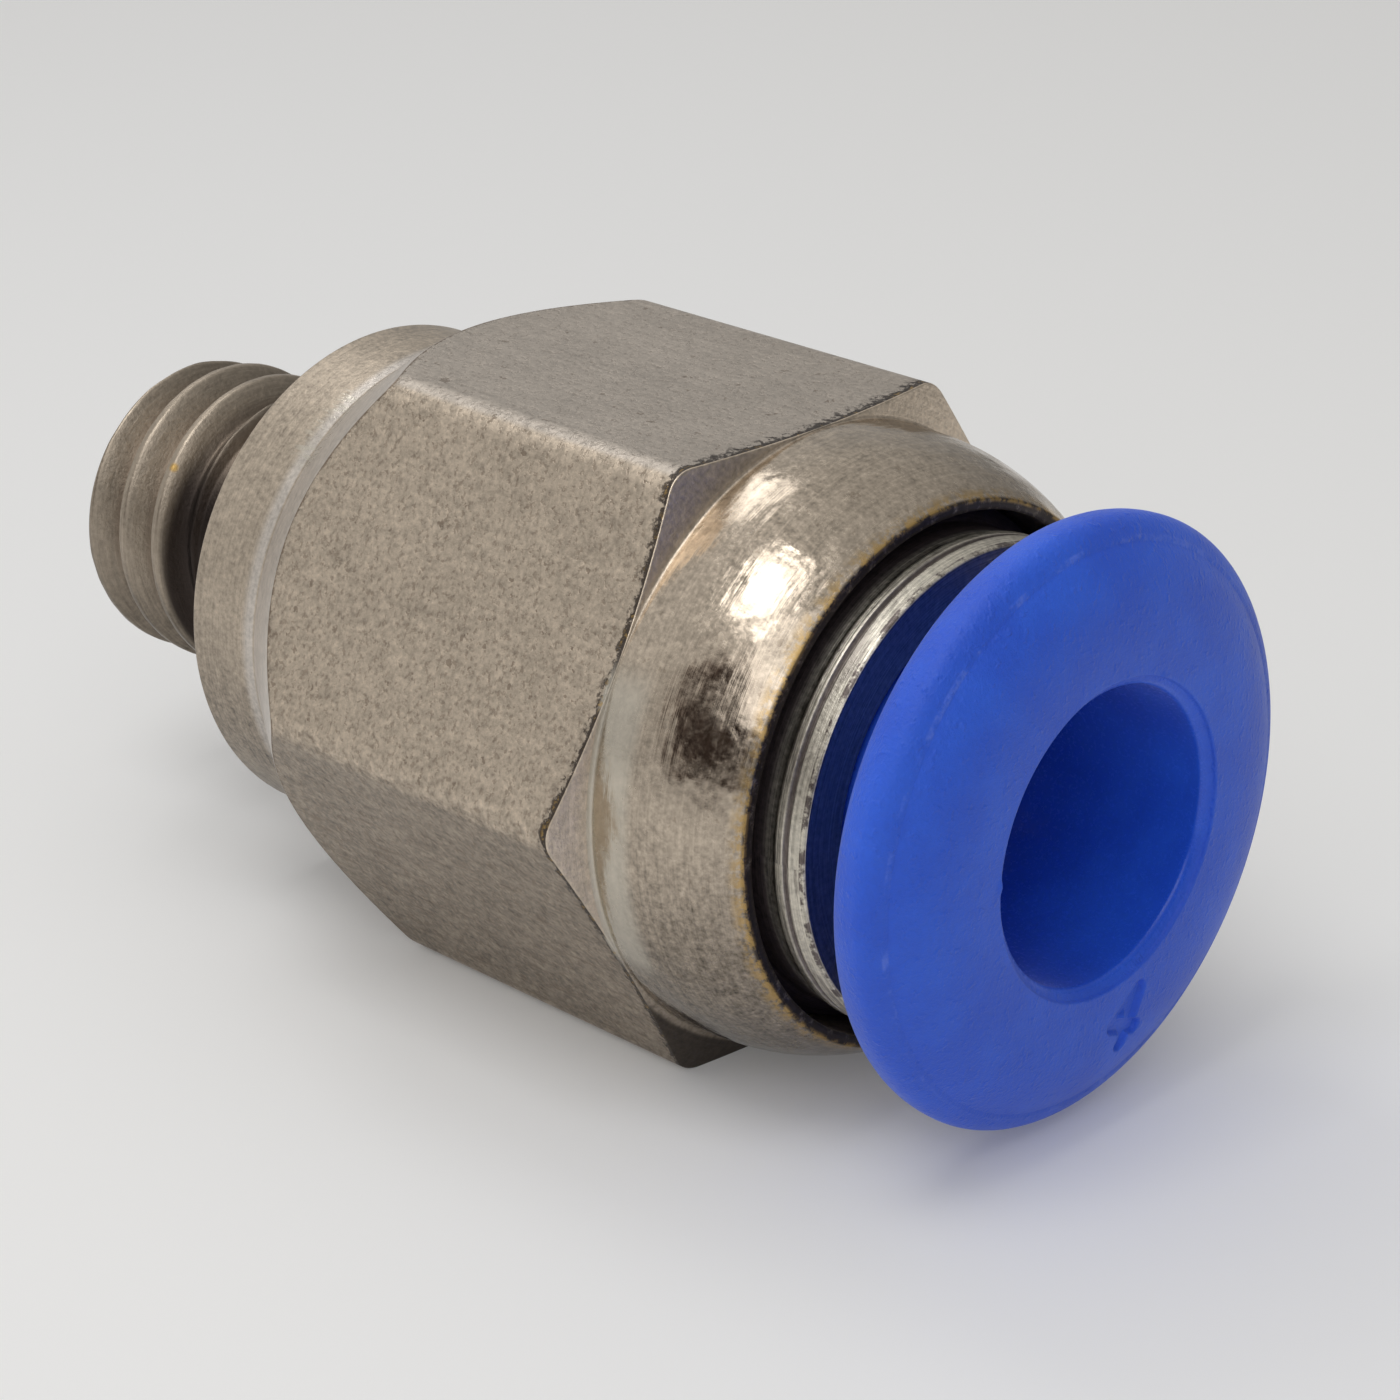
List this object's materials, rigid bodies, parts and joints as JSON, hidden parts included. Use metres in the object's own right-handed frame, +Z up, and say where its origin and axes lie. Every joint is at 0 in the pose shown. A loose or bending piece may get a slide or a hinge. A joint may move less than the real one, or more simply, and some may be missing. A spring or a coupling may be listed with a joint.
{
  "type": "push to connect fitting",
  "caption": "Straight male push to connect fitting: a short threaded stem, a collar and hexagonal body with a domed end, and a spring loaded release ring round the tube entry.",
  "frame": {"origin": "on the bore axis, in the plane of the collar's seat face", "axes": "+X along the bore from the thread towards the tube entry, +Z up through a wrench flat; the part lies on the opposite flat"},
  "size_m": [0.019, 0.0102, 0.009],
  "materials": {
    "nickel_plate": "nickel plated, satin",
    "bright_plate": "nickel plated, turned",
    "spring_steel": "stamped stainless spring steel",
    "blue_acetal": "moulded, satin",
    "pale_acetal": "moulded",
    "seal_rubber": "matt"
  },
  "bodies": {
    "body_group": {"body": "nickel_plate", "o_ring": "seal_rubber", "backup_ring": "pale_acetal", "claw_base": "spring_steel", "guide_ring": "bright_plate"},
    "release": {"release_ring": "blue_acetal"},
    "finger_1": {"claw_finger_1": "spring_steel"},
    "finger_2": {"claw_finger_2": "spring_steel"},
    "finger_3": {"claw_finger_3": "spring_steel"},
    "finger_4": {"claw_finger_4": "spring_steel"},
    "finger_5": {"claw_finger_5": "spring_steel"},
    "finger_6": {"claw_finger_6": "spring_steel"},
    "finger_7": {"claw_finger_7": "spring_steel"},
    "finger_8": {"claw_finger_8": "spring_steel"}
  },
  "joints": [
    {"name": "release_slide", "type": "slide", "parent": "body_group", "child": "release", "axis": [-1, 0, 0], "range_m": [0, 0.0009], "stiffness_N_per_m": 800, "springref_m": -0.001},
    {"name": "finger_1_hinge", "type": "hinge", "parent": "body_group", "child": "finger_1", "pos_m": [0.00876, 0, 0.0029], "axis": [0, 1, 0], "range_deg": [0, 13]},
    {"name": "finger_2_hinge", "type": "hinge", "parent": "body_group", "child": "finger_2", "pos_m": [0.00876, -0.00205, 0.00205], "axis": [0, 0.7071, 0.7071], "range_deg": [0, 13]},
    {"name": "finger_3_hinge", "type": "hinge", "parent": "body_group", "child": "finger_3", "pos_m": [0.00876, -0.0029, 0], "axis": [0, 0, 1], "range_deg": [0, 13]},
    {"name": "finger_4_hinge", "type": "hinge", "parent": "body_group", "child": "finger_4", "pos_m": [0.00876, -0.00205, -0.00205], "axis": [0, -0.7071, 0.7071], "range_deg": [0, 13]},
    {"name": "finger_5_hinge", "type": "hinge", "parent": "body_group", "child": "finger_5", "pos_m": [0.00876, 0, -0.0029], "axis": [0, -1, 0], "range_deg": [0, 13]},
    {"name": "finger_6_hinge", "type": "hinge", "parent": "body_group", "child": "finger_6", "pos_m": [0.00876, 0.00205, -0.00205], "axis": [0, -0.7071, -0.7071], "range_deg": [0, 13]},
    {"name": "finger_7_hinge", "type": "hinge", "parent": "body_group", "child": "finger_7", "pos_m": [0.00876, 0.0029, 0], "axis": [0, 0, -1], "range_deg": [0, 13]},
    {"name": "finger_8_hinge", "type": "hinge", "parent": "body_group", "child": "finger_8", "pos_m": [0.00876, 0.00205, 0.00205], "axis": [0, 0.7071, -0.7071], "range_deg": [0, 13]}
  ],
  "couplings": [
    {"joint": "finger_1_hinge", "follows": "release_slide", "rad_per_m": 250},
    {"joint": "finger_2_hinge", "follows": "release_slide", "rad_per_m": 250},
    {"joint": "finger_3_hinge", "follows": "release_slide", "rad_per_m": 250},
    {"joint": "finger_4_hinge", "follows": "release_slide", "rad_per_m": 250},
    {"joint": "finger_5_hinge", "follows": "release_slide", "rad_per_m": 250},
    {"joint": "finger_6_hinge", "follows": "release_slide", "rad_per_m": 250},
    {"joint": "finger_7_hinge", "follows": "release_slide", "rad_per_m": 250},
    {"joint": "finger_8_hinge", "follows": "release_slide", "rad_per_m": 250}
  ]
}
